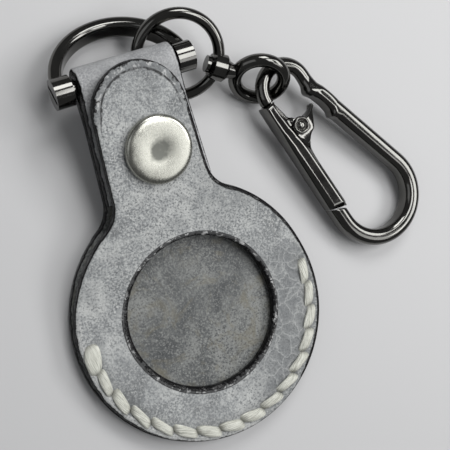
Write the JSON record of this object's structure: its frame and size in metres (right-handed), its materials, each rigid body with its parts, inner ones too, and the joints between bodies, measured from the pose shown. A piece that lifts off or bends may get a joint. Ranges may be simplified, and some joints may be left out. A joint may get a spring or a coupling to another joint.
{
  "type": "tracker tag holder",
  "caption": "Round leather pocket with a window and a neck strap that snaps shut over a shackle, hung on a swivel with a small carabiner, to carry a coin-shaped tracker tag.",
  "frame": {"origin": "centre of the round pocket on its back face", "axes": "+Y towards the shackle, +Z out of the pocket's front, +X to the right seen from the front"},
  "size_m": [0.0772, 0.0821, 0.0151],
  "materials": {
    "front_leather": "mottled grey grain with black burnished edges",
    "back_leather": "darker mottled grey with black burnished edges",
    "thread": "waxed off-white",
    "snap_metal": "worn nickel",
    "dark_metal": "polished black nickel",
    "spring_wire": "drawn wire"
  },
  "bodies": {
    "pocket": {"back_panel": "back_leather", "front_panel": "front_leather", "stitch_thread": "thread", "snap_stud": "snap_metal", "snap_rear_post": "snap_metal"},
    "flap": {"front_flap": "front_leather", "snap_cap": "snap_metal", "snap_socket": "snap_metal", "snap_spring": "spring_wire"},
    "shackle": {"shackle_bow": "dark_metal", "shackle_screw": "dark_metal"},
    "loop": {"swivel_loop": "dark_metal"},
    "eye": {"swivel_eye": "dark_metal"},
    "carabiner": {"carabiner_frame": "dark_metal", "gate_rivet": "dark_metal"},
    "gate": {"carabiner_gate": "dark_metal", "gate_spring": "spring_wire"}
  },
  "joints": [
    {"name": "flap_open", "type": "hinge", "parent": "pocket", "child": "flap", "pos_m": [0, 0.00691, 0.0042], "axis": [1, 0, 0], "range_deg": [0, 80]},
    {"name": "shackle_swing", "type": "hinge", "parent": "pocket", "child": "shackle", "pos_m": [0, 0.046, 0.00867], "axis": [1, 0, 0], "range_deg": [0, 40]},
    {"name": "loop_swing", "type": "hinge", "parent": "shackle", "child": "loop", "pos_m": [0.00768, 0.05289, 0.00428], "axis": [-0.7253, 0.5807, -0.3699], "range_deg": [-20, 0]},
    {"name": "swivel_turn", "type": "hinge", "parent": "loop", "child": "eye", "pos_m": [0.0111, 0.0469, 0.0057], "axis": [0.8525, -0.5224, -0.02], "continuous": true},
    {"name": "carabiner_swing", "type": "hinge", "parent": "eye", "child": "carabiner", "pos_m": [0.02936, 0.03571, 0.00527], "axis": [0.3209, 0.4926, 0.809], "range_deg": [-10, 20]},
    {"name": "gate_open", "type": "hinge", "parent": "carabiner", "child": "gate", "pos_m": [0.03018, 0.02738, 0.00444], "axis": [0.0226, -0.066, 0.9976], "range_deg": [0, 25], "stiffness_Nm_per_rad": 0.05, "springref_deg": -17.19, "deforming": ["gate_spring"]}
  ]
}
